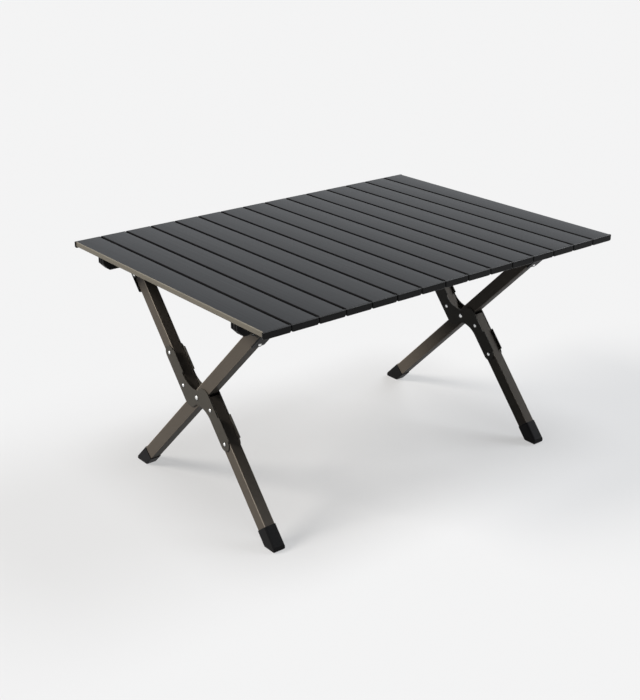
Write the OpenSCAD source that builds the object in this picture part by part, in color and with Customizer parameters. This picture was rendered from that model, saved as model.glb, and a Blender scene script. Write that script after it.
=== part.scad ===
// Camp table: a slatted top that rolls up, on a folding frame of crossed legs.
// Millimetres, +Z up, +X along the table, origin on the floor under the middle of the top.
// Left is -X, front is -Y. Frame A stands on its back feet and carries the front rail,
// frame B stands on its front feet and carries the back rail, and they cross at two pivots.

/* [Table top] */
// Number of slats along the table
slat_count = 15; // [9:1:16]
// Distance from one slat to the next
slat_pitch = 60; // [50:0.5:75]
// Open gap between neighbouring slats
slat_gap = 5.5; // [2.5:0.1:8]
// Width of the top across its end caps
top_width = 650; // [560:1:760]
// Thickness of the slats
slat_thickness = 10.5; // [9.5:0.1:14]
// Height of the top surface above the floor
table_height = 490; // [460:1:540]
// Wall of the slat extrusion
slat_wall = 1.1; // [0.8:0.1:1.8]
// Rounding of the slat's long top edges
slat_top_radius = 1; // [0.5:0.1:3]
// Rounding of the slat's long bottom edges
slat_bottom_radius = 1; // [0.5:0.1:2]

/* [Slat end caps] */
// Height of a cap's outer plate
cap_height = 13.5; // [12:0.1:18]
// Open gap between neighbouring end caps
cap_gap = 1.5; // [1:0.1:2.4]
// Thickness of a cap's outer plate
cap_plate = 4.5; // [2:0.1:6]
// Length of a cap's plugs inside the slat
cap_plug_length = 12; // [8:0.5:20]
// Rounding of a cap's two lower corners
cap_bottom_radius = 3.5; // [2:0.1:5]
// Rounding of a cap's two upper corners
cap_top_radius = 1.5; // [1:0.1:3]
// Clearance of a plug in the slat, on each side
cap_fit = 0.15; // [0.1:0.05:0.3]

/* [Elastic cords] */
// Diameter of each cord
cord_diameter = 4; // [3:0.1:5]
// Clearance around a cord in its holes
cord_clearance = 0.5; // [0.3:0.1:1]
// Distance of each cord from the end of the slats
cord_inset = 55; // [40:1:120]
// Diameter of the crimped stop at each end of a cord
stop_diameter = 7; // [5.5:0.1:8]
// Length of a crimped stop
stop_length = 7; // [5:0.5:12]

/* [Leg tubes] */
// Width of a leg tube in the plane of the cross
tube_width = 28; // [24:0.5:32]
// Depth of a leg tube along the table
tube_depth = 24; // [20:0.5:28]
// Wall of the leg tubes
tube_wall = 1.5; // [1:0.1:2.5]
// Rounding of the tube's corners
tube_radius = 2; // [1.5:0.1:5]
// Distance from the end of the top to the middle of the legs
leg_inset = 86; // [75:1:130]
// Distance from front foot to back foot, between their middles
foot_spread = 472; // [430:1:520]
// Height of the pivots above the floor
pivot_height = 236; // [215:1:255]
// Gap between the tubes of frames A and B when they are folded together
fold_gap = 1; // [0.5:0.1:3]
// Gap on each side of leg A, between the gusset plates
side_gap = 0.5; // [0.3:0.1:1]
// Length of a leg tube past its bracket rivet
leg_end = 12; // [9:0.5:16]
// Gap between leg A and the nearest ends of the leg B tubes
cross_gap = 2; // [1:0.1:5]

/* [Feet] */
// Wall of a foot around its tube
foot_wall = 1.5; // [1:0.1:3]
// Length of a foot along the leg
foot_length = 46; // [38:1:60]
// Plastic under the end of the tube, along the leg
foot_base = 19; // [18:0.5:26]
// Chamfer around the bottom of a foot
foot_chamfer = 2.5; // [1:0.1:4]
// Length cut off the sharp toe of a foot
toe_cut = 10; // [3:0.5:14]
// Clearance around the tube in a foot
foot_fit = 0.1; // [0.05:0.05:0.3]

/* [Gusset plates] */
// Thickness of a gusset plate
plate_thickness = 2; // [1.5:0.1:3]
// Distance that a plate stands past the edge of its tube
plate_margin = 0.5; // [0:0.1:2]
// Distance from the pivot to the inner rivets, along leg B
rivet_near = 38; // [34:0.5:50]
// Distance from the pivot to the outer rivets, along leg B
rivet_far = 110; // [90:0.5:140]
// Half of the plate's waist at the pivot
plate_waist = 10.5; // [8:0.5:14]
// Radius of the plate's shoulders
shoulder_radius = 23; // [18:0.5:26]
// Length of the hollow flank along the arm
flank_length = 45.5; // [25:0.5:60]
// Rise of the hollow flank above the arm
flank_rise = 26; // [18:0.5:30]
// Height of the stiffening lip along each arm's upper edge
lip_height = 4.5; // [1:0.1:6]
// Length of the lip on the upper arm
upper_lip_length = 50; // [30:1:60]
// Length of the lip on the lower arm
lower_lip_length = 50; // [30:1:94]

/* [Rails] */
// Width of a rail
rail_width = 20; // [16:0.5:26]
// Height of a rail
rail_height = 28; // [22:0.5:34]
// Wall of the rails
rail_wall = 1.5; // [1:0.1:2.5]
// Distance between the middles of the two rails
rail_spread = 460; // [440:1:500]
// Distance from the end of the top to the end of a rail plug
rail_inset = 7; // [3:0.5:12]
// Length of a rail plug outside its rail
plug_length = 26; // [22:0.5:32]
// Length of a rail plug inside its rail
plug_tongue = 16; // [10:0.5:24]
// Height of the upright end face above a plug's slope
plug_face = 14; // [4:0.5:18]
// Depth of the two grooves in a plug's end
groove_depth = 1.2; // [0.6:0.1:2]
// Width of a groove
groove_width = 3; // [2:0.1:4]
// Distance between the two grooves
groove_spread = 8; // [6:0.1:9]
// Clearance of a plug in its rail, on each side
plug_fit = 0.15; // [0.1:0.05:0.3]

/* [Corner brackets] */
// Thickness of a bracket's saddle around the rail
saddle_wall = 3; // [2:0.1:4]
// Length of a saddle along the rail
saddle_length = 50; // [46:1:60]
// Height of the saddle's sides up the rail
saddle_height = 14; // [10:0.5:18]
// Thickness of the cheeks on each side of the leg
cheek_thickness = 7; // [6:0.1:9]
// Drop of the leg rivet below the rail
rivet_drop = 15; // [14:0.5:22]
// Radius of a cheek around the leg rivet
cheek_radius = 7; // [6:0.5:14]
// Length of the clamp plate on the leg's lower face, below the leg rivet
clamp_drop = 34; // [24:0.5:44]
// Rounding of the clamp plate's corners
clamp_radius = 3; // [1:0.5:6]
// Distance between the two rivets through a saddle and its rail
rail_rivet_spread = 36; // [34:0.5:42]
// Height of those rivets above the underside of the rail
rail_rivet_height = 7; // [5.5:0.5:9]
// Diameter of the rivet in the clamp plate
clamp_rivet_diameter = 4; // [3:0.1:4.5]
// Length of that rivet past the wall of the leg
clamp_rivet_tail = 2; // [1:0.1:3]
// Clearance between a saddle and the sides of its rail
bracket_fit = 0.1; // [0.05:0.05:0.3]

/* [Top hooks] */
// Length of a hook along the table
hook_length = 20; // [14:1:30]
// Depth of a hook below the slats
hook_depth = 12; // [9:0.5:12]
// Thickness of a hook's wall
hook_wall = 3.5; // [2.5:0.1:5]
// Width of the flange under the slat
hook_flange = 16; // [13:0.5:24]
// Thickness of the flange
hook_plate = 2.5; // [2:0.1:4]
// Gap between a hook and its rail
hook_gap = 0.3; // [0.2:0.1:1]
// Length of a hook rivet past the slat's lower wall
hook_rivet_tail = 2; // [1:0.1:3]

/* [Rivets] */
// Diameter of the gusset and bracket rivets
rivet_diameter = 5; // [4:0.1:6]
// Diameter of their heads
rivet_head = 9; // [8:0.1:11]
// Height of a rivet head
head_height = 2; // [1.5:0.1:3]
// Diameter of the pivot pins
pivot_diameter = 8; // [6:0.1:10]
// Diameter of the pivot pins' heads
pivot_head = 11; // [11:0.1:14]
// Running clearance around a pivot pin
pivot_clearance = 0.06; // [0.03:0.01:0.1]
// Clearance around the other rivets
rivet_clearance = 0.05; // [0.02:0.01:0.1]
// Diameter of the pivot washers
washer_diameter = 18; // [14:0.5:22]
// Gap between a washer and leg A
washer_gap = 0.1; // [0.05:0.05:0.2]

/* [Hidden] */
$fn = 48;
past = 1;

slat_width = slat_pitch - slat_gap;
slat_length = top_width - 2 * cap_plate;
slat_cells = 3;
cell_width = (slat_width - (slat_cells + 1) * slat_wall) / slat_cells;
cell_height = slat_thickness - 2 * slat_wall;
cap_width = slat_pitch - cap_gap;
top_length = slat_count * slat_pitch - cap_gap;
cord_y = slat_length / 2 - cord_inset;
cord_z = table_height - slat_thickness / 2;

leg_x = top_length / 2 - leg_inset;
foot_y = foot_spread / 2;
leg_a_depth = tube_depth - 2 * side_gap;
leg_b_offset = tube_width + fold_gap;
angle_a = atan2(pivot_height, foot_y);
angle_b = angle_a + asin(leg_b_offset / norm([pivot_height, foot_y]));
floor_a = -pivot_height / sin(angle_a);
floor_b = -(pivot_height + leg_b_offset * cos(angle_b)) / sin(angle_b);
leg_b_start = (tube_width / 2) / sin(angle_a + angle_b) + cross_gap;

under_top = table_height - slat_thickness;
under_rail = under_top - rail_height;
rail_y = rail_spread / 2;
hook_y = rail_y + rail_width / 2 + hook_gap;
rail_end = top_length / 2 - rail_inset;
rail_tube_end = rail_end - plug_length;
plug_slope = rail_height - plug_face;
hook_rivet_y = (hook_wall + hook_flange) / 2;

saddle_inner = rail_width / 2 + bracket_fit;
saddle_outer = saddle_inner + saddle_wall;
saddle_clearance = saddle_wall;
rivet_along_a = min(along_to_drop(angle_a, 0), along_to_saddle(angle_a));
rivet_along_b = min(along_to_drop(angle_b, leg_b_offset), along_to_saddle(angle_b));
rivet_out_a = rivet_along_a * cos(angle_a);
rivet_out_b = rivet_along_b * cos(angle_b) + leg_b_offset * sin(angle_b);
drop_a = under_rail - pivot_height - rivet_along_a * sin(angle_a);
drop_b = under_rail - pivot_height - rivet_along_b * sin(angle_b) + leg_b_offset * cos(angle_b);
clamp_face = tube_width / 2 + bracket_fit + saddle_wall;
clamp_rivet_at = rivet_head / 2 + saddle_wall - clamp_drop;

plate_half = tube_width / 2 + plate_margin;
shoulder_along = shoulder_radius - plate_waist;
shoulder_across = leg_b_offset + plate_half - shoulder_radius;
flank_foot = leg_b_offset - plate_half;
flank_arc = (flank_length * flank_length + flank_rise * flank_rise) / (2 * flank_rise);
plate_grip = tube_depth + 2 * plate_thickness;

slat_colour = [0.27, 0.28, 0.30];
tube_colour = [0.20, 0.19, 0.18];
plate_colour = [0.16, 0.16, 0.15];
plastic_colour = [0.06, 0.06, 0.06];
rivet_colour = [0.80, 0.80, 0.80];
cord_colour = [0.10, 0.10, 0.10];
nylon_colour = [0.85, 0.85, 0.82];

slat_numbers = [for (i = [1 : slat_count]) i];

function two_digits(i) = i < 10 ? str("0", i) : str(i);
function slat_name(i) = str("slat_", two_digits(i));
function caps_name(i) = str("slat_caps_", two_digits(i));
function slat_x(i) = (i - (slat_count + 1) / 2) * slat_pitch;

// A bracket's leg rivet lies on the leg where it has its drop below the rail, or lower down
// where the end of the leg would otherwise come too near to the saddle
function along_to_drop(angle, offset) =
    (under_rail - rivet_drop - pivot_height + offset * cos(angle)) / sin(angle);
function along_to_saddle(angle) =
    (rail_y - saddle_outer) * cos(angle) + (under_rail - saddle_wall - pivot_height) * sin(angle)
    - leg_end - saddle_clearance;

// Rounding of a tube's corners at a depth below its surface
function inner_radius(depth) = max(tube_radius - depth, 0.2);

// The sharp corner that a rounding of radius r takes off; dx and dy point into the shape
module corner_cut(x, y, r, dx, dy) {
    difference() {
        translate([dx > 0 ? x - past : x - r, dy > 0 ? y - past : y - r]) square(r + past);
        translate([x + dx * r, y + dy * r]) circle(r);
    }
}

// Flat rectangle standing on y = 0, with its own rounding at the top and at the bottom
module rounded_outline(w, h, top_r, bottom_r) {
    difference() {
        translate([-w / 2, 0]) square([w, h]);
        for (side = [-1, 1]) {
            corner_cut(side * w / 2, h, top_r, -side, -1);
            corner_cut(side * w / 2, 0, bottom_r, -side, 1);
        }
    }
}

// Flat rectangle about the origin, rounded alike at its four corners
module rounded_rectangle(w, h, r) {
    translate([0, -h / 2]) rounded_outline(w, h, r, r);
}

// Extrudes an outline drawn in X and Z along Y, about its middle
module along_y(length) {
    rotate([90, 0, 0]) linear_extrude(length, center = true) children();
}

// Extrudes an outline drawn in Y and Z along X, about its middle
module along_x(length) {
    rotate([90, 0, 90]) linear_extrude(length, center = true) children();
}

// A round bar along X about its middle
module rod_x(d, length) {
    rotate([0, 90, 0]) cylinder(d = d, h = length, center = true);
}

// A domed rivet head on the plane z = 0
module dome(d, h) {
    ball = (d * d / 4 + h * h) / (2 * h);
    intersection() {
        translate([0, 0, h - ball]) sphere(ball, $fn = 64);
        cylinder(d = 2 * d, h = h + past);
    }
}

// A rivet along X with a domed head on each side of a stack that is grip thick
module rivet_x(d, head_d, grip) {
    rod_x(d, grip + head_height);
    for (side = [-1, 1]) {
        translate([side * grip / 2, 0, 0]) rotate([0, side * 90, 0]) dome(head_d, head_height);
    }
}

// Slats: hollow extrusions with three cells, drilled for the two cords
module slat_cells_outline(inset) {
    for (k = [0 : slat_cells - 1]) {
        left = -slat_width / 2 + slat_wall + k * (cell_width + slat_wall) + inset;
        translate([left, slat_wall + inset]) square([cell_width - 2 * inset, cell_height - 2 * inset]);
    }
}

// A cord's holes through a slat; they stop in the middle cell of the first and last slats
module cord_holes(i) {
    from = i == 1 ? 0 : -slat_width / 2 - past;
    to = i == slat_count ? 0 : slat_width / 2 + past;
    translate([(from + to) / 2, 0, 0]) rod_x(cord_diameter + 2 * cord_clearance, to - from);
}

module slat(i) {
    color(slat_colour) translate([slat_x(i), 0, under_top]) difference() {
        along_y(slat_length) difference() {
            rounded_outline(slat_width, slat_thickness, slat_top_radius, slat_bottom_radius);
            slat_cells_outline(0);
        }
        for (side = [-1, 1]) {
            translate([0, side * cord_y, slat_thickness / 2]) cord_holes(i);
            if (i == 1 || i == slat_count)
                translate([0, side * (hook_y + hook_rivet_y), -past])
                    cylinder(d = rivet_diameter + 2 * rivet_clearance, h = slat_wall + 2 * past);
        }
    }
}

// End caps: an outer plate with three plugs that push into the slat's cells
module slat_caps(i) {
    color(plastic_colour) translate([slat_x(i), 0, table_height]) for (side = [-1, 1]) {
        translate([0, side * (slat_length + cap_plate) / 2, -cap_height]) along_y(cap_plate)
            rounded_outline(cap_width, cap_height, cap_top_radius, cap_bottom_radius);
        translate([0, side * (slat_length - cap_plug_length) / 2, -slat_thickness])
            along_y(cap_plug_length) slat_cells_outline(cap_fit);
    }
}

// Elastic cords: they run through all the slats, and a crimped stop holds each end
// against the inner web of the first or the last slat
module elastic_cords() {
    web = slat_x(slat_count) - cell_width / 2;
    color(cord_colour) for (side = [-1, 1]) translate([0, side * cord_y, cord_z]) {
        rod_x(cord_diameter, 2 * (web + stop_length + past));
        for (end = [-1, 1]) {
            translate([end * (web + stop_length / 2), 0, 0]) rod_x(stop_diameter, stop_length);
        }
    }
}

// Hooks under the first and last slats, which catch the outer sides of the two rails
module at_hooks(i) {
    translate([slat_x(i), 0, under_top]) for (turn = [0, 180]) rotate(turn)
        translate([0, hook_y, 0]) children();
}

module top_hooks(i) {
    color(plastic_colour) at_hooks(i) difference() {
        along_x(hook_length) {
            translate([0, -hook_depth]) square([hook_wall, hook_depth]);
            translate([0, -hook_plate]) square([hook_flange, hook_plate]);
        }
        translate([0, hook_rivet_y, -hook_plate - past])
            cylinder(d = rivet_diameter + 2 * rivet_clearance, h = hook_plate + 2 * past);
    }
}

module hook_rivets(i) {
    shank = hook_plate + slat_wall + hook_rivet_tail;
    color(rivet_colour) at_hooks(i) translate([0, hook_rivet_y, -hook_plate]) {
        translate([0, 0, -head_height / 2]) cylinder(d = rivet_diameter, h = shank + head_height / 2);
        mirror([0, 0, 1]) dome(rivet_head, head_height);
    }
}

// Leg frames: y runs up along the leg from the pivot, z across it
module on_leg_a(side) {
    translate([side * leg_x, 0, pivot_height]) rotate([180 - angle_a, 0, 0]) children();
}

module on_leg_b(side) {
    translate([side * leg_x, 0, pivot_height]) rotate([angle_b, 0, 0]) children();
}

module bar(from, to, depth, width, radius) {
    translate([0, from, 0]) rotate([-90, 0, 0]) linear_extrude(to - from)
        rounded_rectangle(depth, width, radius);
}

module tube(from, to, depth) {
    difference() {
        bar(from, to, depth, tube_width, tube_radius);
        bar(from - past, to + past, depth - 2 * tube_wall, tube_width - 2 * tube_wall,
            inner_radius(tube_wall));
    }
}

module rivet_bore(d, clearance) {
    rod_x(d + 2 * clearance, 2 * tube_depth + 2 * cheek_thickness);
}

module clamp_rivet_bore() {
    cylinder(d = clamp_rivet_diameter + 2 * rivet_clearance, h = tube_width);
}

module leg_a(side) {
    color(tube_colour) on_leg_a(side) difference() {
        tube(floor_a + foot_base, rivet_along_a + leg_end, leg_a_depth);
        rivet_bore(pivot_diameter, pivot_clearance);
        translate([0, rivet_along_a, 0]) rivet_bore(rivet_diameter, rivet_clearance);
        translate([0, rivet_along_a + clamp_rivet_at, 0]) clamp_rivet_bore();
    }
}

module leg_b_upper(side) {
    color(tube_colour) on_leg_b(side) translate([0, 0, -leg_b_offset]) difference() {
        tube(leg_b_start, rivet_along_b + leg_end, tube_depth);
        for (a = [rivet_near, rivet_far, rivet_along_b]) {
            translate([0, a, 0]) rivet_bore(rivet_diameter, rivet_clearance);
        }
        translate([0, rivet_along_b + clamp_rivet_at, 0]) mirror([0, 0, 1]) clamp_rivet_bore();
    }
}

module leg_b_lower(side) {
    color(tube_colour) on_leg_b(side) translate([0, 0, leg_b_offset]) difference() {
        tube(floor_b + foot_base, -leg_b_start, tube_depth);
        for (a = [-rivet_near, -rivet_far]) {
            translate([0, a, 0]) rivet_bore(rivet_diameter, rivet_clearance);
        }
    }
}

// Feet: plastic cups on the tube ends, cut flat on the floor, with the toe nipped off
module foot_cup(floor_at, depth) {
    difference() {
        bar(floor_at - foot_length, floor_at + foot_length, depth + 2 * foot_wall,
            tube_width + 2 * foot_wall, tube_radius + foot_wall);
        bar(floor_at + foot_base, floor_at + foot_length + past, depth + 2 * foot_fit,
            tube_width + 2 * foot_fit, tube_radius + foot_fit);
    }
}

// The space a foot may fill, with its outer side towards +Y
module foot_clip(angle, depth) {
    half = (tube_width / 2 + foot_wall) / sin(angle);
    high = 2 * foot_length;
    along_x(depth + 2 * foot_wall + 2 * past) polygon([
        [-half + foot_chamfer, 0],
        [half - toe_cut - foot_chamfer, 0],
        [half - toe_cut, foot_chamfer],
        [half - toe_cut, high],
        [-half + foot_chamfer - 2.5 * high, high]
    ]);
}

module foot_side_chamfers(depth) {
    bottom = depth / 2 + foot_wall - foot_chamfer;
    high = 2 * foot_length;
    along_y(2 * high) polygon([[-bottom, 0], [bottom, 0], [bottom + high, high], [-bottom - high, high]]);
}

module foot_a(side) {
    color(plastic_colour) intersection() {
        on_leg_a(side) foot_cup(floor_a, leg_a_depth);
        translate([side * leg_x, foot_y, 0]) foot_clip(angle_a, leg_a_depth);
        translate([side * leg_x, foot_y, 0]) foot_side_chamfers(leg_a_depth);
    }
}

module foot_b(side) {
    color(plastic_colour) intersection() {
        on_leg_b(side) translate([0, 0, leg_b_offset]) foot_cup(floor_b, tube_depth);
        translate([side * leg_x, -foot_y, 0]) rotate(180) foot_clip(angle_b, tube_depth);
        translate([side * leg_x, -foot_y, 0]) foot_side_chamfers(tube_depth);
    }
}

// Gusset plates: a pair on each frame joins the two halves of leg B around leg A
module gusset_arm() {
    translate([shoulder_along, -leg_b_offset - plate_half])
        square([rivet_far - shoulder_along, 2 * plate_half]);
    translate([rivet_far, -leg_b_offset]) circle(plate_half);
    translate([shoulder_along, -shoulder_across]) intersection() {
        circle(shoulder_radius);
        translate([-2 * shoulder_radius, -2 * shoulder_radius])
            square([4 * shoulder_radius, 2 * shoulder_radius + past]);
    }
    difference() {
        translate([0, -leg_b_offset])
            square([plate_waist + flank_length, leg_b_offset + flank_rise - flank_foot + plate_waist]);
        translate([plate_waist + flank_length, flank_arc - flank_foot]) circle(flank_arc);
    }
}

module gusset_outline() {
    for (turn = [0, 180]) rotate(turn) gusset_arm();
    translate([-plate_waist, -shoulder_across]) square([2 * plate_waist, 2 * shoulder_across]);
    translate([rivet_far - upper_lip_length, -leg_b_offset])
        square([upper_lip_length, plate_half + lip_height]);
    translate([-rivet_far, leg_b_offset]) square([lower_lip_length, plate_half + lip_height]);
}

module gusset_plates(side) {
    color(plate_colour) on_leg_b(side) for (face = [-1, 1]) {
        translate([face * (tube_depth + plate_thickness) / 2, 0, 0]) difference() {
            along_x(plate_thickness) gusset_outline();
            rivet_bore(pivot_diameter, rivet_clearance);
            at_gusset_rivets() rivet_bore(rivet_diameter, rivet_clearance);
        }
    }
}

module at_gusset_rivets() {
    for (a = [rivet_near, rivet_far]) {
        translate([0, a, -leg_b_offset]) children();
        translate([0, -a, leg_b_offset]) children();
    }
}

module gusset_rivets() {
    color(rivet_colour) for (side = [-1, 1]) on_leg_b(side) at_gusset_rivets()
        rivet_x(rivet_diameter, rivet_head, plate_grip);
}

module pivot_pins() {
    color(rivet_colour) for (side = [-1, 1]) on_leg_b(side)
        rivet_x(pivot_diameter, pivot_head, plate_grip);
}

module pivot_washers() {
    thickness = side_gap - washer_gap;
    color(nylon_colour) for (side = [-1, 1], face = [-1, 1]) on_leg_b(side) {
        translate([face * (tube_depth - thickness) / 2, 0, 0]) difference() {
            rod_x(washer_diameter, thickness);
            rivet_bore(pivot_diameter, rivet_clearance);
        }
    }
}

// Rails: drawn with the outer side towards +Y, and turned round for the front one
module at_rail(turn) {
    rotate(turn) translate([0, rail_y, under_rail]) children();
}

module rail_section(inset) {
    translate([0, rail_height / 2]) rounded_rectangle(rail_width - 2 * inset, rail_height - 2 * inset,
        inner_radius(min(inset, rail_wall)));
}

module rail(turn) {
    color(tube_colour) at_rail(turn) difference() {
        along_x(2 * rail_tube_end) difference() {
            rail_section(0);
            rail_section(rail_wall);
        }
        for (side = [-1, 1]) translate([side * leg_x, 0, 0]) at_rail_rivets() rail_rivet_bore();
    }
}

// Rail plugs: end pieces that slope away underneath, with two grooves down the end
module plug_side(cut) {
    polygon([
        [-past, 0],
        [plug_length - plug_slope - cut * sqrt(2), 0],
        [plug_length - cut, plug_slope + cut * (sqrt(2) - 1)],
        [plug_length - cut, rail_height + 2 * past],
        [-past, rail_height + 2 * past]
    ]);
}

module rail_plug() {
    difference() {
        intersection() {
            translate([plug_length / 2, 0, 0]) along_x(plug_length) rail_section(0);
            along_y(2 * rail_width) plug_side(0);
        }
        for (side = [-1, 1]) translate([0, side * groove_spread / 2, 0]) along_y(groove_width)
            difference() {
                translate([0, -past]) square([plug_length + past, rail_height + 2 * past]);
                plug_side(groove_depth);
            }
    }
    translate([(past - plug_tongue) / 2, 0, 0]) along_x(plug_tongue + past)
        rail_section(rail_wall + plug_fit);
}

module rail_plugs(turn) {
    color(plastic_colour) at_rail(turn) for (end = [0, 1]) mirror([end, 0, 0])
        translate([rail_tube_end, 0, 0]) rail_plug();
}

// Corner brackets: a saddle under the rail, two cheeks beside the leg, and a clamp plate
// along the leg's lower face; drawn for the left end of the back rail
module at_rail_rivets() {
    for (side = [-1, 1]) translate([side * rail_rivet_spread / 2, 0, rail_rivet_height]) children();
}

module rail_rivet_bore() {
    along_y(2 * rail_width) circle(d = rivet_diameter + 2 * rivet_clearance);
}

// Where the middles of a cheek and of the clamp plate meet the saddle's floor
function cheek_meets(angle, rivet_y, drop) = rivet_y + (drop - saddle_wall / 2) / tan(angle);
function clamp_meets(angle, rivet_y, drop) =
    cheek_meets(angle, rivet_y, drop) + (clamp_face - saddle_wall / 2) / sin(angle);

// A cheek runs along the leg from the saddle's underside to a round eye at the leg rivet; where
// the leg passes beside the saddle, a strap joins the cheek and the clamp plate to its floor
module cheek_outline(angle, rivet_y, drop) {
    from = cheek_meets(angle, rivet_y, drop);
    to = clamp_meets(angle, rivet_y, drop);
    strap_in = min(from, saddle_wall - saddle_outer);
    strap_out = max(to, saddle_outer - saddle_wall);
    difference() {
        translate([rivet_y, -drop]) {
            circle(cheek_radius);
            rotate(angle) translate([0, past - cheek_radius])
                square([(drop + 2 * cheek_radius) / sin(angle), 2 * cheek_radius - 2 * past]);
        }
        translate([rivet_y - 2 * cheek_radius, -saddle_wall / 2])
            square([strap_out - rivet_y + 4 * cheek_radius, 2 * rail_height]);
    }
    if (from + cheek_radius < -saddle_outer || to > saddle_outer)
        translate([strap_in, -saddle_wall]) square([strap_out - strap_in, saddle_wall]);
}

// y runs up along the leg from its rivet, z across it
module at_leg_rivet(angle, rivet_y, drop) {
    translate([0, rivet_y, -drop]) rotate([angle, 0, 0]) children();
}

module clamp_plate(angle, rivet_y, drop, depth) {
    width = depth + 2 * saddle_wall;
    length = clamp_drop + drop / sin(angle) + 2 * tube_width;
    difference() {
        at_leg_rivet(angle, rivet_y, drop) translate([0, length / 2 - clamp_drop, -clamp_face])
            linear_extrude(saddle_wall) rounded_rectangle(width, length, clamp_radius);
        translate([-width, rivet_y - length, -saddle_wall / 2]) cube([2 * width, 3 * length, 2 * length]);
    }
}

module bracket(angle, rivet_y, drop, depth) {
    cheek_x = (depth + cheek_thickness) / 2;
    difference() {
        union() {
            along_x(saddle_length) difference() {
                translate([-saddle_outer, -saddle_wall])
                    square([2 * saddle_outer, saddle_wall + saddle_height]);
                translate([-saddle_inner, 0]) square([2 * saddle_inner, saddle_height + past]);
            }
            for (side = [-1, 1]) translate([side * cheek_x, 0, 0]) along_x(cheek_thickness)
                cheek_outline(angle, rivet_y, drop);
            clamp_plate(angle, rivet_y, drop, depth);
        }
        translate([0, rivet_y, -drop]) rivet_bore(rivet_diameter, rivet_clearance);
        at_rail_rivets() rail_rivet_bore();
        at_leg_rivet(angle, rivet_y, drop) translate([0, clamp_rivet_at, -clamp_face - past])
            cylinder(d = clamp_rivet_diameter + 2 * rivet_clearance, h = saddle_wall + 2 * past);
    }
}

module rivets_of_bracket(angle, rivet_y, drop, depth) {
    shank = saddle_wall + bracket_fit + tube_wall + clamp_rivet_tail;
    translate([0, rivet_y, -drop]) rivet_x(rivet_diameter, rivet_head, depth + 2 * cheek_thickness);
    at_rail_rivets() rotate(90) rivet_x(rivet_diameter, rivet_head, 2 * saddle_outer);
    at_leg_rivet(angle, rivet_y, drop) translate([0, clamp_rivet_at, -clamp_face]) {
        mirror([0, 0, 1]) dome(rivet_head, head_height);
        translate([0, 0, -head_height / 2]) cylinder(d = clamp_rivet_diameter, h = shank + head_height / 2);
    }
}

module at_brackets(turn) {
    at_rail(turn) for (end = [0, 1]) mirror([end, 0, 0]) translate([-leg_x, 0, 0]) children();
}

module brackets(turn, angle, rivet_out, drop, depth) {
    color(plastic_colour) at_brackets(turn) bracket(angle, rivet_out - rail_y, drop, depth);
}

module bracket_rivets(turn, angle, rivet_out, drop, depth) {
    color(rivet_colour) at_brackets(turn) rivets_of_bracket(angle, rivet_out - rail_y, drop, depth);
}

for (i = slat_numbers) {
    slat(i);
    slat_caps(i);
}
elastic_cords();
top_hooks(1);  // top_hooks_left
top_hooks(slat_count);  // top_hooks_right
hook_rivets(1);  // hook_rivets_left
hook_rivets(slat_count);  // hook_rivets_right
leg_a(-1);  // leg_a_left
leg_a(1);  // leg_a_right
foot_a(-1);  // foot_a_left
foot_a(1);  // foot_a_right
leg_b_upper(-1);  // leg_b_upper_left
leg_b_upper(1);  // leg_b_upper_right
leg_b_lower(-1);  // leg_b_lower_left
leg_b_lower(1);  // leg_b_lower_right
foot_b(-1);  // foot_b_left
foot_b(1);  // foot_b_right
gusset_plates(-1);  // gusset_plates_left
gusset_plates(1);  // gusset_plates_right
gusset_rivets();
pivot_pins();
pivot_washers();
rail(180);  // rail_front
rail(0);  // rail_back
rail_plugs(180);  // rail_plugs_front
rail_plugs(0);  // rail_plugs_back
brackets(180, angle_a, rivet_out_a, drop_a, leg_a_depth);  // brackets_front
brackets(0, angle_b, rivet_out_b, drop_b, tube_depth);  // brackets_back
bracket_rivets(180, angle_a, rivet_out_a, drop_a, leg_a_depth);  // bracket_rivets_front
bracket_rivets(0, angle_b, rivet_out_b, drop_b, tube_depth);  // bracket_rivets_back
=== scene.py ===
import math

import bmesh
import bpy
from mathutils import Matrix, Vector


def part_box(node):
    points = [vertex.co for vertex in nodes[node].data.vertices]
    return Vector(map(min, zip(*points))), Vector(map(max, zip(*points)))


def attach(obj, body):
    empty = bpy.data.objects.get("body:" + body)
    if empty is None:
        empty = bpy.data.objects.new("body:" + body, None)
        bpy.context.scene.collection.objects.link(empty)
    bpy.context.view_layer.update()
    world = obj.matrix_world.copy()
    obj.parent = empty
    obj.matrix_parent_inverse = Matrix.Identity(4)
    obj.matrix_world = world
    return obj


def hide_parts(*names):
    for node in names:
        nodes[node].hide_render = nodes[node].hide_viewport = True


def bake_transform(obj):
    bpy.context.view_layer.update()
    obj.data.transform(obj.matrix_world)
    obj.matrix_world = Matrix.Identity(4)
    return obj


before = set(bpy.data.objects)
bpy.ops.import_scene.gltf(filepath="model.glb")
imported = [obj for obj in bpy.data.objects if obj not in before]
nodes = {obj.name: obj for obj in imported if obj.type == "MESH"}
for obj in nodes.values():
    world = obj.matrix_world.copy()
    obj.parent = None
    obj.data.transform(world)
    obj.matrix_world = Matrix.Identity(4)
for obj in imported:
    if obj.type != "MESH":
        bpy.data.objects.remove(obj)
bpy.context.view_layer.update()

# Leg tubes and rails.
# Rectangular tubes of extruded aluminium, faintly lined by the die, with a satin grey-brown coat.
# Leg A is one tube and leg B two, and a rail lies under each long side of the top.

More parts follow.
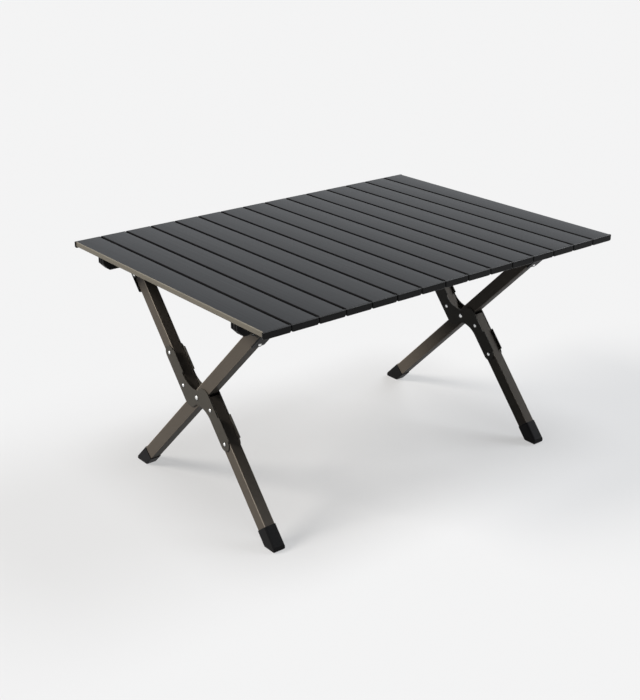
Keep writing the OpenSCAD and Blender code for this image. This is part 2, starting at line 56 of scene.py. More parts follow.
SIDES = ("left", "right")
TUBE_DARK = (0.088, 0.078, 0.067)
TUBE_LIGHT = (0.110, 0.098, 0.085)
# The edge tone and its strength below paint a highlight along the legs' rounded edges.
TUBE_EDGE_HIGHLIGHT = (0.42, 0.38, 0.33)
TUBE_ROUGHNESS = 0.46
TUBE_SPECULAR = 0.06
EDGE_HIGHLIGHT_GAIN = 3.0
LEG_A_TURN = math.radians(135.0)
LEG_B_TURN = math.radians(49.985)
ACROSS_LINES = 0.0011
ALONG_LINES = 0.25
LINES_ALONG_X = (ALONG_LINES, ACROSS_LINES, ACROSS_LINES)
LINES_ALONG_Y = (ACROSS_LINES, ALONG_LINES, ACROSS_LINES)
COAT_LINES = {"Scale": 1, "Detail": 3}
COAT_CLOUDS = {"Scale": 14, "Detail": 4}
COAT_GRAIN = {"Scale": 2400, "Detail": 2}
LINE_STRENGTH = 0.06
LINE_DEPTH = 0.00006
GRAIN_STRENGTH = 0.25
GRAIN_DEPTH = 0.00004
COAT_SPREAD = 0.03
NOISE_LOW = 0.3
NOISE_HIGH = 0.7
MIX_FACTOR, MIX_FIRST, MIX_SECOND, MIX_RESULT = 0, 6, 7, 2  # a Mix node's colour sockets


def feed(tree, node, inputs):
    """Fills a node's inputs: another node's output is linked, and any other value is written."""
    for key, value in inputs.items():
        if isinstance(value, bpy.types.NodeSocket):
            tree.links.new(value, node.inputs[key])
        else:
            node.inputs[key].default_value = value


def add_node(tree, kind, inputs=None, **settings):
    made = tree.nodes.new(kind)
    for key, value in settings.items():
        setattr(made, key, value)
    feed(tree, made, inputs or {})
    return made


def math_node(tree, operation, first, second):
    made = add_node(tree, "ShaderNodeMath", {0: first, 1: second}, operation=operation)
    return made.outputs[0]


def new_material(name):
    made = bpy.data.materials.new(name)
    made.use_nodes = True
    return made, made.node_tree, made.node_tree.nodes["Principled BSDF"]


def object_place(tree):
    return add_node(tree, "ShaderNodeTexCoord").outputs["Object"]


def noise(tree, place, sizes):
    return add_node(tree, "ShaderNodeTexNoise", {"Vector": place, **sizes}).outputs["Fac"]


def two_tone(tree, factor, dark, light):
    """Mixes two tones by a factor; a tone is a colour or another node's output."""
    dark, light = [tone if isinstance(tone, bpy.types.NodeSocket) else (*tone, 1)
                   for tone in (dark, light)]
    made = add_node(tree, "ShaderNodeMix", {MIX_FACTOR: factor, MIX_FIRST: dark, MIX_SECOND: light},
                    data_type="RGBA")
    return made.outputs[MIX_RESULT]


def remap(tree, factor, low, high):
    """Spreads the middle of a noise's range from low to high."""
    made = add_node(tree, "ShaderNodeMapRange", {
        "Value": factor, "From Min": NOISE_LOW, "From Max": NOISE_HIGH,
        "To Min": low, "To Max": high})
    return made.outputs[0]


def bump(tree, height, strength, distance, under=None):
    inputs = {"Height": height, "Strength": strength, "Distance": distance}
    if under:
        inputs["Normal"] = under
    return add_node(tree, "ShaderNodeBump", inputs).outputs["Normal"]


def painted_edge_highlight(tree, tone, edge):
    """Paints a highlight, a lighter tone, where the surface turns from a tube's side to its top or
    bottom.
    """
    normal = add_node(tree, "ShaderNodeTexCoord").outputs["Normal"]
    side = add_node(tree, "ShaderNodeSeparateXYZ", {"Vector": normal}).outputs["X"]
    square = math_node(tree, "MULTIPLY", side, side)
    bend = math_node(tree, "MULTIPLY", square, math_node(tree, "SUBTRACT", 1.0, square))
    return two_tone(tree, math_node(tree, "MULTIPLY", bend, EDGE_HIGHLIGHT_GAIN), tone, edge)


def coated_metal(name, dark, light, roughness, specular, stretch, turn=0.0, edge=None):
    """Satin coat on an extrusion: cloudy tone, fine grain, lines along it and a painted highlight
    on its edges.
    """
    made, tree, shader = new_material(name)
    place = object_place(tree)
    drawn_place = add_node(tree, "ShaderNodeMapping", {
        "Vector": place, "Rotation": (turn, 0, 0), "Scale": stretch}, vector_type="TEXTURE")
    drawn = noise(tree, drawn_place.outputs["Vector"], COAT_LINES)
    tone = two_tone(tree, noise(tree, place, COAT_CLOUDS), dark, light)
    if edge:
        tone = painted_edge_highlight(tree, tone, edge)
    lines = bump(tree, drawn, LINE_STRENGTH, LINE_DEPTH)
    grain = noise(tree, place, COAT_GRAIN)
    feed(tree, shader, {
        "Base Color": tone,
        "Roughness": remap(tree, drawn, roughness - COAT_SPREAD, roughness + COAT_SPREAD),
        "Normal": bump(tree, grain, GRAIN_STRENGTH, GRAIN_DEPTH, lines),
        "Specular IOR Level": specular})
    return made


def dress(names, made):
    for name in names:
        for place in nodes[name].material_slots:
            place.material = made


tube_finish = (TUBE_DARK, TUBE_LIGHT, TUBE_ROUGHNESS, TUBE_SPECULAR)
leg_a_coat = coated_metal("leg_a_coat", *tube_finish, LINES_ALONG_Y, LEG_A_TURN, TUBE_EDGE_HIGHLIGHT)
leg_b_coat = coated_metal("leg_b_coat", *tube_finish, LINES_ALONG_Y, LEG_B_TURN, TUBE_EDGE_HIGHLIGHT)
rail_coat = coated_metal("rail_coat", *tube_finish, LINES_ALONG_X)
for side in SIDES:
    dress([f"leg_a_{side}"], leg_a_coat)
    dress([f"leg_b_upper_{side}", f"leg_b_lower_{side}"], leg_b_coat)
dress(["rail_front", "rail_back"], rail_coat)

# Gusset plates.
# Pairs of pressed steel plates, painted dark grey, that clamp the two halves of leg B around leg A.
# Pressing leaves their edges slightly rounded, and rivets hold them to the tubes.

PLATE_DARK = (0.058, 0.055, 0.049)
PLATE_LIGHT = (0.074, 0.070, 0.062)
PLATE_ROUGHNESS = 0.48
PLATE_SPECULAR = 0.08
PLATE_EDGE = 0.0005
WELD = 0.00002
FLAT_ANGLE = math.radians(1.5)
EDGE_ANGLE = math.radians(32)
EDGE_STEPS = 2


def soft_edged(name, source, edge, made, body):
    """Copies a CAD solid with its edges rounded, as pressing or moulding leaves them."""
    mesh = nodes[source].data.copy()
    shape = bmesh.new()
    shape.from_mesh(mesh)
    bmesh.ops.remove_doubles(shape, verts=shape.verts, dist=WELD)
    bmesh.ops.dissolve_limit(shape, angle_limit=FLAT_ANGLE, verts=shape.verts, edges=shape.edges)
    for face in shape.faces:
        face.smooth = True
    shape.to_mesh(mesh)
    shape.free()
    mesh.materials.clear()
    mesh.materials.append(made)
    piece = bpy.data.objects.new(name, mesh)
    bpy.context.scene.collection.objects.link(piece)
    rounding = piece.modifiers.new("rounded_edges", "BEVEL")
    rounding.width = edge
    rounding.segments = EDGE_STEPS
    rounding.limit_method = "ANGLE"
    rounding.angle_limit = EDGE_ANGLE
    piece.modifiers.new("even_shading", "WEIGHTED_NORMAL").keep_sharp = True
    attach(piece, body)
    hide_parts(source)
    return piece


plate_paint = coated_metal("plate_paint", PLATE_DARK, PLATE_LIGHT, PLATE_ROUGHNESS, PLATE_SPECULAR,
                           LINES_ALONG_Y, LEG_B_TURN)
for side in SIDES:
    soft_edged(f"gusset_{side}", f"gusset_plates_{side}", PLATE_EDGE, plate_paint,
               "frame_b")

# Pivot washers.
# Thin rings of moulded white nylon that keep leg A from rubbing on the gusset plates.
# The pivot pins pass through them and hold them in place.

NYLON_DARK = (0.66, 0.66, 0.63)
NYLON_LIGHT = (0.74, 0.74, 0.70)
NYLON_ROUGHNESS = 0.5
NYLON_SPECULAR = 0.4
NYLON_GRAIN = 900
NYLON_GRAIN_DEPTH = 0.00002
MOULD_CLOUDS = {"Scale": 35, "Detail": 3}
MOULD_GRAIN_DETAIL = 3
MOULD_GRAIN_STRENGTH = 0.35
MOULD_SMOOTHER = 0.04
MOULD_ROUGHER = 0.06


def moulded_plastic(name, dark, light, roughness, specular, grain_scale, grain_depth):
    """Moulded plastic with a spark-eroded grain and slightly uneven tone."""
    made, tree, shader = new_material(name)
    place = object_place(tree)
    cloud = noise(tree, place, MOULD_CLOUDS)
    grain = noise(tree, place, {"Scale": grain_scale, "Detail": MOULD_GRAIN_DETAIL})
    feed(tree, shader, {
        "Base Color": two_tone(tree, cloud, dark, light),
        "Roughness": remap(tree, cloud, roughness - MOULD_SMOOTHER, roughness + MOULD_ROUGHER),
        "Normal": bump(tree, grain, MOULD_GRAIN_STRENGTH, grain_depth),
        "Specular IOR Level": specular})
    return made


washer_nylon = moulded_plastic("washer_nylon", NYLON_DARK, NYLON_LIGHT, NYLON_ROUGHNESS,
                               NYLON_SPECULAR, NYLON_GRAIN, NYLON_GRAIN_DEPTH)
dress(["pivot_washers"], washer_nylon)

# Feet, corner brackets, rail plugs and top hooks.
# Black injection-moulded plastic with a fine grain and rounded edges. The feet push over the tube
# ends, the plugs into the rails, and rivets hold the brackets and hooks.

BLACK_DARK = (0.004, 0.004, 0.0045)
BLACK_LIGHT = (0.008, 0.008, 0.0085)
BLACK_ROUGHNESS = 0.46
BLACK_SPECULAR = 0.08
BLACK_GRAIN = 1300
BLACK_GRAIN_DEPTH = 0.00005
FOOT_EDGE = 0.0009
BRACKET_EDGE = 0.0007

black_plastic = moulded_plastic("black_plastic", BLACK_DARK, BLACK_LIGHT, BLACK_ROUGHNESS,
                                BLACK_SPECULAR, BLACK_GRAIN, BLACK_GRAIN_DEPTH)


def black_moulding(name, source, edge, body):
    soft_edged(name, source, edge, black_plastic, body)


for side in SIDES:
    black_moulding(f"foot_cup_a_{side}", f"foot_a_{side}", FOOT_EDGE, "frame_a")
    black_moulding(f"foot_cup_b_{side}", f"foot_b_{side}", FOOT_EDGE, "frame_b")
for place, body in (("front", "frame_a"), ("back", "frame_b")):
    black_moulding(f"rail_ends_{place}", f"rail_plugs_{place}", BRACKET_EDGE, body)
    black_moulding(f"corner_brackets_{place}", f"brackets_{place}", BRACKET_EDGE, body)
for side, body in (("left", "top_01"), ("right", "top_15")):
    black_moulding(f"rail_hooks_{side}", f"top_hooks_{side}", BRACKET_EDGE, body)

# Rivets and pivot pins.
# Bright steel, each with a thin flange and a domed head with a small dimple, set by a press; the
# flange is coloured dark as a painted shade ring round the head.
# They stand where the CAD rivets stand, so their seats are read from those solids.

RIVET_HEAD = 0.009
PIVOT_HEAD = 0.011
HEAD_HEIGHT = 0.002
HEAD_SIDES = 28
HEAD_RINGS = 20
FLANGE_HEIGHT = 0.0006
DOME_SHARE = 0.80
DIMPLE_FROM = 0.965
DIMPLE_SLOPE = 6.0
CLAMP_SPAN = 0.0095
STEEL_BRIGHT = (0.78, 0.78, 0.77)
# The flange's dark tone is a painted shade ring around each head.
STEEL_SHADE_RING = (0.10, 0.10, 0.10)
STEEL_METALLIC = 0.9
STEEL_SMOOTHEST = 0.22
STEEL_ROUGHEST = 0.36
SCUFFS = {"Scale": 700, "Detail": 4}
SCUFF_STRENGTH = 0.1
SCUFF_DEPTH = 0.00003
AXES = (Vector((1, 0, 0)), Vector((0, 1, 0)), Vector((0, 0, 1)))
DOWN = Vector((0, 0, -1))


def solids_of(name):
    """Corner points of each separate solid in a CAD node."""
    shape = bmesh.new()
    shape.from_mesh(nodes[name].data)
    bmesh.ops.remove_doubles(shape, verts=shape.verts, dist=WELD)
    left = dict.fromkeys(shape.verts)
    found = []
    while left:
        spots, reached = [], [left.popitem()[0]]
        while reached:
            vert = reached.pop()
            spots.append(vert.co.copy())
            for link in vert.link_edges:
                other = link.other_vert(vert)
                if other in left:
                    del left[other]
                    reached.append(other)
        found.append(spots)
    shape.free()
    return found


def extent(spots, way):
    heights = [spot.dot(way) for spot in spots]
    return min(heights), max(heights)


def rivet_seats(name):
    """Seat point and outward direction of each head.

    A rivet lies along an axis with a head at each end. One through a hook shows its lower head
    alone, and one through a bracket's plate lies across the leg and shows its outer head.
    """
    seats = []
    for spots in solids_of(name):
        spans = [extent(spots, way) for way in AXES]
        size = [high - low for low, high in spans]
        middle_y = sum(spans[1]) / 2
        longest = size.index(max(size))
        if name.startswith("hook"):
            ways = [DOWN]
        elif longest != 0 and min(size[1], size[2]) > CLAMP_SPAN:
            slope = LEG_B_TURN if middle_y > 0 else math.pi - LEG_A_TURN
            ways = [Vector((0, math.copysign(math.sin(slope), middle_y), -math.cos(slope)))]
        else:
            ways = [AXES[longest], -AXES[longest]]
        for out in ways:
            across = AXES[1] if out.x else AXES[0].cross(out)
            seat = out * (extent(spots, out)[1] - HEAD_HEIGHT)
            for way in (across, across.cross(out)):
                seat = seat + way * (sum(extent(spots, way)) / 2)
            seats.append((seat, out))
    return seats


def new_tree(name, inputs):
    """A Geometry Nodes tree with named inputs: a size, a point, or None for a finish."""
    kinds = {float: "NodeSocketFloat", tuple: "NodeSocketVector"}
    tree = bpy.data.node_groups.new(name, "GeometryNodeTree")
    for way in ("OUTPUT", "INPUT"):
        tree.interface.new_socket("Geometry", in_out=way, socket_type="NodeSocketGeometry")
    for label, value in inputs.items():
        made = tree.interface.new_socket(label, in_out="INPUT",
                                         socket_type=kinds.get(type(value), "NodeSocketMaterial"))
        if value is not None:
            made.default_value = value
    return tree, tree.nodes.new("NodeGroupInput").outputs, tree.nodes.new("NodeGroupOutput")


def chain(tree, *steps):
    """Links the geometry of each step to the next; a step is a node or an output socket."""
    for here, there in zip(steps, steps[1:]):
        start = here.outputs[0] if hasattr(here, "outputs") else here
        tree.links.new(start, there.inputs[0])


def half(tree, size):
    return math_node(tree, "MULTIPLY", size, 0.5)


def vector_of(tree, **parts):
    return add_node(tree, "ShaderNodeCombineXYZ", parts).outputs[0]


def grown(tree, base, name, values):
    """Runs a tree on a mesh with its own sizes and keeps the result as a plain mesh."""
    carrier = bpy.data.objects.new(name, base)
    bpy.context.scene.collection.objects.link(carrier)
    growth = carrier.modifiers.new("growth", "NODES")
    growth.node_group = tree
    ids = {item.name: item.identifier for item in tree.interface.items_tree
           if item.in_out == "INPUT"}
    for label, value in values.items():
        growth[ids[label]] = value
    graph = bpy.context.evaluated_depsgraph_get()
    mesh = bpy.data.meshes.new_from_object(carrier.evaluated_get(graph))
    carrier.modifiers.remove(growth)
    carrier.data = mesh
    return carrier


rivet_steel, steel_tree, steel_shader = new_material("rivet_steel")
flange_shade = add_node(steel_tree, "ShaderNodeAttribute", attribute_name="rim").outputs["Fac"]
scuff = noise(steel_tree, object_place(steel_tree), SCUFFS)
feed(steel_tree, steel_shader, {
    "Base Color": two_tone(steel_tree, flange_shade, STEEL_BRIGHT, STEEL_SHADE_RING),
    "Roughness": remap(steel_tree, scuff, STEEL_SMOOTHEST, STEEL_ROUGHEST),
    "Normal": bump(steel_tree, scuff, SCUFF_STRENGTH, SCUFF_DEPTH),
    "Metallic": STEEL_METALLIC})

head_tree, head_in, head_out = new_tree("rivet_heads", {
    "Head diameter": RIVET_HEAD, "Head height": HEAD_HEIGHT, "Flange height": FLANGE_HEIGHT,
    "Dome share": DOME_SHARE, "Steel": None})
head_radius = half(head_tree, head_in["Head diameter"])
dome_radius = math_node(head_tree, "MULTIPLY", head_radius, head_in["Dome share"])
ball = add_node(head_tree, "GeometryNodeMeshUVSphere", {
    "Segments": HEAD_SIDES, "Rings": HEAD_RINGS, "Radius": 1.0})
ball_spot = add_node(head_tree, "ShaderNodeSeparateXYZ", {
    "Vector": head_tree.nodes.new("GeometryNodeInputPosition").outputs[0]}).outputs
lifted = math_node(head_tree, "MAXIMUM", ball_spot["Z"], 0.0)
crown = math_node(head_tree, "SUBTRACT", ball_spot["Z"], DIMPLE_FROM)
dimple = math_node(head_tree, "MULTIPLY", math_node(head_tree, "MAXIMUM", crown, 0.0), DIMPLE_SLOPE)
dome_height = math_node(head_tree, "SUBTRACT", lifted, dimple)
dome = add_node(head_tree, "GeometryNodeSetPosition", {"Position": vector_of(
    head_tree,
    X=math_node(head_tree, "MULTIPLY", ball_spot["X"], dome_radius),
    Y=math_node(head_tree, "MULTIPLY", ball_spot["Y"], dome_radius),
    Z=math_node(head_tree, "MULTIPLY", dome_height, head_in["Head height"]))})
chain(head_tree, ball, dome)
flange = add_node(head_tree, "GeometryNodeMeshCylinder", {
    "Vertices": HEAD_SIDES, "Radius": head_radius, "Depth": head_in["Flange height"]})
raised = add_node(head_tree, "GeometryNodeTransform", {
    "Translation": vector_of(head_tree, Z=half(head_tree, head_in["Flange height"]))})
chain(head_tree, flange, raised)
head = head_tree.nodes.new("GeometryNodeJoinGeometry")
for part, value in ((dome, 0.0), (raised, 1.0)):
    marked = add_node(head_tree, "GeometryNodeStoreNamedAttribute", {"Name": "rim", "Value": value},
                      data_type="FLOAT", domain="POINT")
    chain(head_tree, part, marked, head)
facing = add_node(head_tree, "GeometryNodeInputNamedAttribute", {"Name": "facing"},
                  data_type="FLOAT_VECTOR")
aligned = add_node(head_tree, "FunctionNodeAlignRotationToVector", {
    "Vector": facing.outputs["Attribute"]}, axis="Z")
placed = add_node(head_tree, "GeometryNodeInstanceOnPoints", {
    "Instance": head.outputs[0], "Rotation": aligned.outputs[0]})
head_whole = head_tree.nodes.new("GeometryNodeRealizeInstances")
head_smooth = head_tree.nodes.new("GeometryNodeSetShadeSmooth")
head_finish = add_node(head_tree, "GeometryNodeSetMaterial", {"Material": head_in["Steel"]})
chain(head_tree, head_in["Geometry"], placed, head_whole, head_smooth, head_finish, head_out)


def rivet_piece(name, sources, diameter, body):
    seats = [seat for source in sources for seat in rivet_seats(source)]
    spots = bpy.data.meshes.new(name)
    spots.from_pydata([seat for seat, _ in seats], [], [])
    outward = spots.attributes.new("facing", "FLOAT_VECTOR", "POINT")
    for entry, (_, out) in zip(outward.data, seats):
        entry.vector = out
    piece = grown(head_tree, spots, name, {"Head diameter": diameter, "Steel": rivet_steel})
    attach(piece, body)
    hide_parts(*sources)


rivet_piece("rivet_heads_front", ["bracket_rivets_front"], RIVET_HEAD, "frame_a")
rivet_piece("rivet_heads_back", ["bracket_rivets_back", "gusset_rivets"], RIVET_HEAD, "frame_b")
rivet_piece("pivot_heads", ["pivot_pins"], PIVOT_HEAD, "frame_b")
rivet_piece("hook_heads_left", ["hook_rivets_left"], RIVET_HEAD, "top_01")
rivet_piece("hook_heads_right", ["hook_rivets_right"], RIVET_HEAD, "top_15")

# Slats.
# Hollow aluminium extrusions, flat on top with rounded edges, cut to length, drilled for the cords
# and given a satin dark grey coat. The flanks carry painted shade, darker and less glossy, so the
# gaps read black, and the end slats' outer flanks carry painted light, pale as if lit from the
# side.

SLAT_COUNT = 15
SLAT_WIDTH = 0.0545
SLAT_LENGTH = 0.641
SLAT_THICKNESS = 0.0105
SLAT_TOP_RADIUS = 0.0016
SLAT_BOTTOM_RADIUS = 0.001
RADIUS_STEPS = 7
SLAT_WELD = 0.00001
SMOOTH_ANGLE = math.radians(30)
CORD_HOLE = 0.005
CORD_SIDE = 0.2655
DRILL_LENGTH = 0.08
DRILL_SIDES = 20
FLANK_SLOPE = 0.3
SLAT_DARK = (0.0045, 0.0048, 0.0054)
SLAT_LIGHT = (0.007, 0.0074, 0.0082)
SLAT_ROUGHNESS = 0.36
SLAT_SPECULAR = 0.135
# The flanks' darker, less glossy tone is painted shade, so the narrow gaps between slats read
# black.
FLANK_SHADE_DARK = (0.003, 0.003, 0.0035)
FLANK_SHADE_LIGHT = (0.005, 0.005, 0.0055)
FLANK_ROUGHNESS = 0.60
FLANK_SPECULAR = 0.05
# The end slats' outer flanks are pale as painted light, a lit copy of the same dark coat.
OUTER_LIT_DARK = (0.142, 0.132, 0.110)
OUTER_LIT_PALE = (0.176, 0.164, 0.138)
OUTER_ROUGHNESS = 0.45
OUTER_SPECULAR = 0.15
ALONG_X = (0, math.pi / 2, 0)
ALONG_Y = (math.pi / 2, 0, 0)

slat_coat = coated_metal("slat_coat", SLAT_DARK, SLAT_LIGHT, SLAT_ROUGHNESS, SLAT_SPECULAR,
                         LINES_ALONG_Y)
flank_painted_shade = coated_metal("flank_painted_shade", FLANK_SHADE_DARK, FLANK_SHADE_LIGHT, FLANK_ROUGHNESS, FLANK_SPECULAR,
                          LINES_ALONG_Y)
outer_painted_light = coated_metal("outer_painted_light", OUTER_LIT_DARK, OUTER_LIT_PALE, OUTER_ROUGHNESS, OUTER_SPECULAR,
                          LINES_ALONG_Y)

slat_tree, slat_in, slat_out = new_tree("slat", {
    "Width": SLAT_WIDTH, "Length": SLAT_LENGTH, "Thickness": SLAT_THICKNESS,
    "Top radius": SLAT_TOP_RADIUS, "Bottom radius": SLAT_BOTTOM_RADIUS,
    "Cord hole": CORD_HOLE, "Cord side": CORD_SIDE, "Middle": (0, 0, 0), "Outer side": 0.0,
    "Coat": None, "Flank painted shade": None, "Outer painted light": None})
outline = add_node(slat_tree, "GeometryNodeCurvePrimitiveQuadrilateral", {
    "Width": slat_in["Width"], "Height": slat_in["Thickness"]})
corner = add_node(slat_tree, "ShaderNodeSeparateXYZ", {
    "Vector": slat_tree.nodes.new("GeometryNodeInputPosition").outputs[0]})
upper = add_node(slat_tree, "FunctionNodeCompare", {"A": corner.outputs["Y"], "B": 0.0},
                 data_type="FLOAT", operation="GREATER_THAN")
edge_radius = add_node(slat_tree, "GeometryNodeSwitch", {
    "Switch": upper.outputs[0], "False": slat_in["Bottom radius"], "True": slat_in["Top radius"]},
    input_type="FLOAT")
rounded = add_node(slat_tree, "GeometryNodeFilletCurve", {
    "Count": RADIUS_STEPS, "Radius": edge_radius.outputs[0]}, mode="POLY")
cut_face = add_node(slat_tree, "GeometryNodeFillCurve", mode="NGONS")
drawn_out = add_node(slat_tree, "GeometryNodeExtrudeMesh", {
    "Offset": vector_of(slat_tree, Z=1.0), "Offset Scale": slat_in["Length"], "Individual": False})
cut_end = slat_tree.nodes.new("GeometryNodeFlipFaces")
bar = slat_tree.nodes.new("GeometryNodeJoinGeometry")
welded = add_node(slat_tree, "GeometryNodeMergeByDistance", {"Distance": SLAT_WELD})
laid = add_node(slat_tree, "GeometryNodeTransform", {
    "Rotation": ALONG_Y,
    "Translation": vector_of(slat_tree, Y=half(slat_tree, slat_in["Length"]))})
chain(slat_tree, outline, rounded, cut_face, drawn_out, bar)
chain(slat_tree, cut_face, cut_end, bar)
chain(slat_tree, bar, welded, laid)

drill = add_node(slat_tree, "GeometryNodeMeshCylinder", {
    "Vertices": DRILL_SIDES, "Depth": DRILL_LENGTH,
    "Radius": half(slat_tree, slat_in["Cord hole"])})
drill_shift = math_node(slat_tree, "MULTIPLY", slat_in["Outer side"], -DRILL_LENGTH / 2)
bored = add_node(slat_tree, "GeometryNodeMeshBoolean", {"Mesh 1": laid.outputs[0]},
                 operation="DIFFERENCE", solver="EXACT")
for end in (-1.0, 1.0):
    hole = add_node(slat_tree, "GeometryNodeTransform", {
        "Rotation": ALONG_X,
        "Translation": vector_of(slat_tree, X=drill_shift,
                                 Y=math_node(slat_tree, "MULTIPLY", slat_in["Cord side"], end))})
    chain(slat_tree, drill, hole)
    feed(slat_tree, bored, {"Mesh 2": hole.outputs[0]})

slat_moved = add_node(slat_tree, "GeometryNodeTransform", {"Translation": slat_in["Middle"]})
slat_whole = slat_tree.nodes.new("GeometryNodeRealizeInstances")
slat_smooth = slat_tree.nodes.new("GeometryNodeSetShadeSmooth")
turn_angle = slat_tree.nodes.new("GeometryNodeInputMeshEdgeAngle")
flat_enough = add_node(slat_tree, "FunctionNodeCompare", {
    "A": turn_angle.outputs["Unsigned Angle"], "B": SMOOTH_ANGLE},
    data_type="FLOAT", operation="LESS_THAN")
slat_edges = add_node(slat_tree, "GeometryNodeSetShadeSmooth", {
    "Shade Smooth": flat_enough.outputs[0]}, domain="EDGE")
face_x = add_node(slat_tree, "ShaderNodeSeparateXYZ", {
    "Vector": slat_tree.nodes.new("GeometryNodeInputNormal").outputs[0]}).outputs["X"]
slat_finishes = [add_node(slat_tree, "GeometryNodeSetMaterial", {"Material": slat_in["Coat"]})]
sideways = math_node(slat_tree, "ABSOLUTE", face_x, 0.0)
outward = math_node(slat_tree, "MULTIPLY", face_x, slat_in["Outer side"])
# The flanks get the painted shade, and the end slats' outer flanks get the painted light.
for label, slope in (("Flank painted shade", sideways), ("Outer painted light", outward)):
    slat_finishes.append(add_node(slat_tree, "GeometryNodeSetMaterial", {
        "Material": slat_in[label],
        "Selection": math_node(slat_tree, "GREATER_THAN", slope, FLANK_SLOPE)}))
chain(slat_tree, bored, slat_moved, slat_whole, slat_smooth, slat_edges, *slat_finishes, slat_out)

for number in range(1, SLAT_COUNT + 1):
    label = f"{number:02d}"
    low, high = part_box(f"slat_{label}")
    size = high - low
    slat = grown(slat_tree, bpy.data.meshes.new(f"slat_bar_{label}"), f"slat_bar_{label}", {
        "Width": size.x, "Length": size.y, "Thickness": size.z, "Middle": (low + high) / 2,
        "Outer side": {1: -1.0, SLAT_COUNT: 1.0}.get(number, 0.0),
        "Coat": slat_coat, "Flank painted shade": flank_painted_shade, "Outer painted light": outer_painted_light})
    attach(slat, f"top_{label}")
    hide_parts(f"slat_{label}")

# Slat end caps.
# Black moulded plastic, smoother than the feet, pushed into both ends of each slat and a little
# wider than it, with rounded lower corners and a rounded outer rim.

CAP_EDGE = 0.0005
CAP_RIM = 0.0018
CAP_RIM_STEPS = 3
CAP_RIM_PROFILE = 0.5
CAP_ROUGHNESS = 0.28
CAP_SPECULAR = 0.12
CAP_GRAIN_DEPTH = 0.00004
END_FACING = 0.99
END_DEPTH = 0.0001

cap_plastic = moulded_plastic("cap_plastic", BLACK_DARK, BLACK_LIGHT, CAP_ROUGHNESS, CAP_SPECULAR,
                              BLACK_GRAIN, CAP_GRAIN_DEPTH)


def outer_rim(shape):
    """Edges around the two faces that close the ends of the top."""
    far = max(abs(vert.co.y) for vert in shape.verts)
    ends = [face for face in shape.faces if abs(face.normal.y) > END_FACING
            and abs(abs(face.calc_center_median().y) - far) < END_DEPTH]
    return list(dict.fromkeys(edge for face in ends for edge in face.edges))


for number in range(1, SLAT_COUNT + 1):
    label = f"{number:02d}"
    caps = soft_edged(f"slat_ends_{label}", f"slat_caps_{label}", CAP_EDGE, cap_plastic,
                      f"top_{label}")
    shape = bmesh.new()
    shape.from_mesh(caps.data)
    bmesh.ops.bevel(shape, geom=outer_rim(shape), offset=CAP_RIM, segments=CAP_RIM_STEPS,
                    profile=CAP_RIM_PROFILE, affect="EDGES")
    for face in shape.faces:
        face.smooth = True
    shape.to_mesh(caps.data)
    shape.free()

# Elastic cords.
# Two braided elastic cords run through all the slats and pull them together. Each piece is the
# stretch from the middle of one slat to the middle of the next.

CORD_DIAMETER = 0.004
CORD_SIDES = 14
CORD_STEPS = 24
SLAT_PITCH = 0.06
CORD_DARK = (0.010, 0.010, 0.010)
CORD_LIGHT = (0.035, 0.035, 0.036)
CORD_ROUGHNESS = 0.85
BRAID_SLANT = math.radians(40)
BRAID_STRANDS = {"Scale": 260, "Distortion": 0.4}
BRAID_STRENGTH = 0.6
BRAID_DEPTH = 0.0002

cord_cover, cover_tree, cover_shader = new_material("cord_cover")
cord_place = object_place(cover_tree)
strands = []
for slant in (BRAID_SLANT, -BRAID_SLANT):
    lay = add_node(cover_tree, "ShaderNodeMapping", {
        "Vector": cord_place, "Rotation": (0, 0, slant)})
    strand = add_node(cover_tree, "ShaderNodeTexWave", {
        "Vector": lay.outputs["Vector"], **BRAID_STRANDS}, wave_type="BANDS")
    strands.append(strand.outputs["Fac"])
braid = math_node(cover_tree, "MULTIPLY", *strands)
feed(cover_tree, cover_shader, {
    "Base Color": two_tone(cover_tree, braid, CORD_DARK, CORD_LIGHT),
    "Normal": bump(cover_tree, braid, BRAID_STRENGTH, BRAID_DEPTH),
    "Roughness": CORD_ROUGHNESS})

cord_tree, cord_in, cord_out = new_tree("cord_run", {
    "Diameter": CORD_DIAMETER, "Length": SLAT_PITCH, "Cord side": CORD_SIDE, "Middle": (0, 0, 0),
    "Cover": None})
run = add_node(cord_tree, "GeometryNodeMeshCylinder", {
    "Vertices": CORD_SIDES, "Side Segments": CORD_STEPS,
    "Radius": half(cord_tree, cord_in["Diameter"]), "Depth": cord_in["Length"]})
pair = cord_tree.nodes.new("GeometryNodeJoinGeometry")
for end in (-1.0, 1.0):
    along = add_node(cord_tree, "GeometryNodeTransform", {
        "Rotation": ALONG_X,
        "Translation": vector_of(cord_tree,
                                 Y=math_node(cord_tree, "MULTIPLY", cord_in["Cord side"], end))})
    chain(cord_tree, run, along, pair)
cord_moved = add_node(cord_tree, "GeometryNodeTransform", {"Translation": cord_in["Middle"]})
cord_whole = cord_tree.nodes.new("GeometryNodeRealizeInstances")
cord_smooth = cord_tree.nodes.new("GeometryNodeSetShadeSmooth")
cord_finish = add_node(cord_tree, "GeometryNodeSetMaterial", {"Material": cord_in["Cover"]})
chain(cord_tree, pair, cord_moved, cord_whole, cord_smooth, cord_finish, cord_out)

cord_low, cord_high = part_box("elastic_cords")
for number in range(1, SLAT_COUNT):
    here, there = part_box(f"slat_{number:02d}"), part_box(f"slat_{number + 1:02d}")
    start = (here[0].x + here[1].x) / 2
    end = (there[0].x + there[1].x) / 2
    middle = Vector(((start + end) / 2, 0, (cord_low.z + cord_high.z) / 2))
    stretch = grown(cord_tree, bpy.data.meshes.new(f"cord_{number:02d}"), f"cord_{number:02d}", {
        "Length": end - start, "Middle": middle, "Cover": cord_cover})
    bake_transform(stretch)
    if number == 1:
        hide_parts("elastic_cords")

# Floor, light and camera.
# A plain pale floor, broad soft lamps from the left, the right and above, and an even pale
# surround. The camera stands where the photograph was taken from.

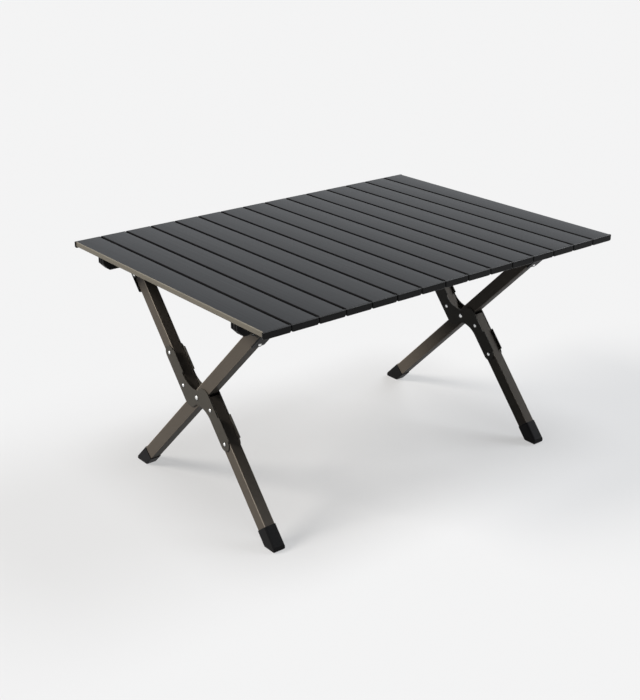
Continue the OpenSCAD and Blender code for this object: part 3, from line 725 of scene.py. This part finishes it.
FLOOR_SIZE = 40.0
FLOOR_COLOUR = (0.226, 0.230, 0.237)
FLOOR_BOUNCE = (0.10, 0.10, 0.10)
FLOOR_GLOW = 0.48
FLOOR_ROUGHNESS = 0.9
SURROUND_COLOUR = (0.93, 0.96, 1.0)
SURROUND_LIGHT = 0.03
SURROUND_SEEN = 0.92
CAMERA_PLACE = (-1.5400, -1.8280, 1.2242)
CAMERA_AZIMUTH = math.radians(-38.857)
CAMERA_ELEVATION = math.radians(22.382)
CAMERA_ROLL = math.radians(0.126)
LENS = 62.18
SENSOR_WIDTH = 36


def seen_ray(tree):
    """1 for a ray from the camera or a reflection, 0 for light that falls on the object."""
    path = tree.nodes.new("ShaderNodeLightPath").outputs
    straight = math_node(tree, "MAXIMUM", path["Is Camera Ray"], path["Is Glossy Ray"])
    return math_node(tree, "MAXIMUM", straight, path["Is Transmission Ray"])


def sun_lamp(label, travel, colour, strength, width):
    """A distant lamp whose light travels one way; width is the angle that it seems to fill."""
    lamp = bpy.data.lights.new(label, "SUN")
    lamp.color = colour
    lamp.energy = strength
    lamp.angle = math.radians(width)
    holder = bpy.data.objects.new(label, lamp)
    holder.rotation_euler = Vector(travel).to_track_quat("-Z", "Y").to_euler()
    bpy.context.scene.collection.objects.link(holder)


floor_mesh = bpy.data.meshes.new("floor")
reach = FLOOR_SIZE / 2
floor_mesh.from_pydata(
    [(-reach, -reach, 0), (reach, -reach, 0), (reach, reach, 0), (-reach, reach, 0)],
    [], [(0, 1, 2, 3)])
floor = bpy.data.objects.new("floor", floor_mesh)
bpy.context.scene.collection.objects.link(floor)
floor_paint, floor_tree, floor_shader = new_material("floor_paint")
feed(floor_tree, floor_shader, {
    "Base Color": two_tone(floor_tree, seen_ray(floor_tree), FLOOR_BOUNCE, FLOOR_COLOUR),
    "Roughness": FLOOR_ROUGHNESS,
    "Specular IOR Level": 0.0,
    "Emission Color": (1, 1, 1, 1),
    "Emission Strength": math_node(floor_tree, "MULTIPLY", seen_ray(floor_tree), FLOOR_GLOW)})
floor_mesh.materials.append(floor_paint)

surround = bpy.data.worlds.new("surround")
bpy.context.scene.world = surround
surround.use_nodes = True
sky_tree = surround.node_tree
seen_light = math_node(sky_tree, "MULTIPLY", seen_ray(sky_tree), SURROUND_SEEN - SURROUND_LIGHT)
feed(sky_tree, sky_tree.nodes["Background"], {
    "Color": (*SURROUND_COLOUR, 1),
    "Strength": math_node(sky_tree, "ADD", seen_light, SURROUND_LIGHT)})

sun_lamp("left_lamp", travel=(1.26, -0.66, -1.03), colour=(1.0, 0.94, 0.86), strength=3.8, width=22)
sun_lamp("right_lamp", travel=(-1.0, 0.20, -0.93), colour=(0.96, 0.98, 1.0), strength=2.4, width=34)
sun_lamp("top_lamp", travel=(0.05, 0.05, -1.0), colour=(1.0, 1.0, 1.0), strength=2.0, width=26)

eye = bpy.data.cameras.new("camera")
eye.lens = LENS
eye.sensor_width = SENSOR_WIDTH
camera = bpy.data.objects.new("camera", eye)
turn = (Matrix.Rotation(CAMERA_AZIMUTH, 4, "Z")
        @ Matrix.Rotation(math.pi / 2 - CAMERA_ELEVATION, 4, "X")
        @ Matrix.Rotation(CAMERA_ROLL, 4, "Z"))
camera.matrix_world = Matrix.Translation(CAMERA_PLACE) @ turn
bpy.context.scene.collection.objects.link(camera)
bpy.context.scene.camera = camera
bpy.context.scene.view_settings.view_transform = "Standard"
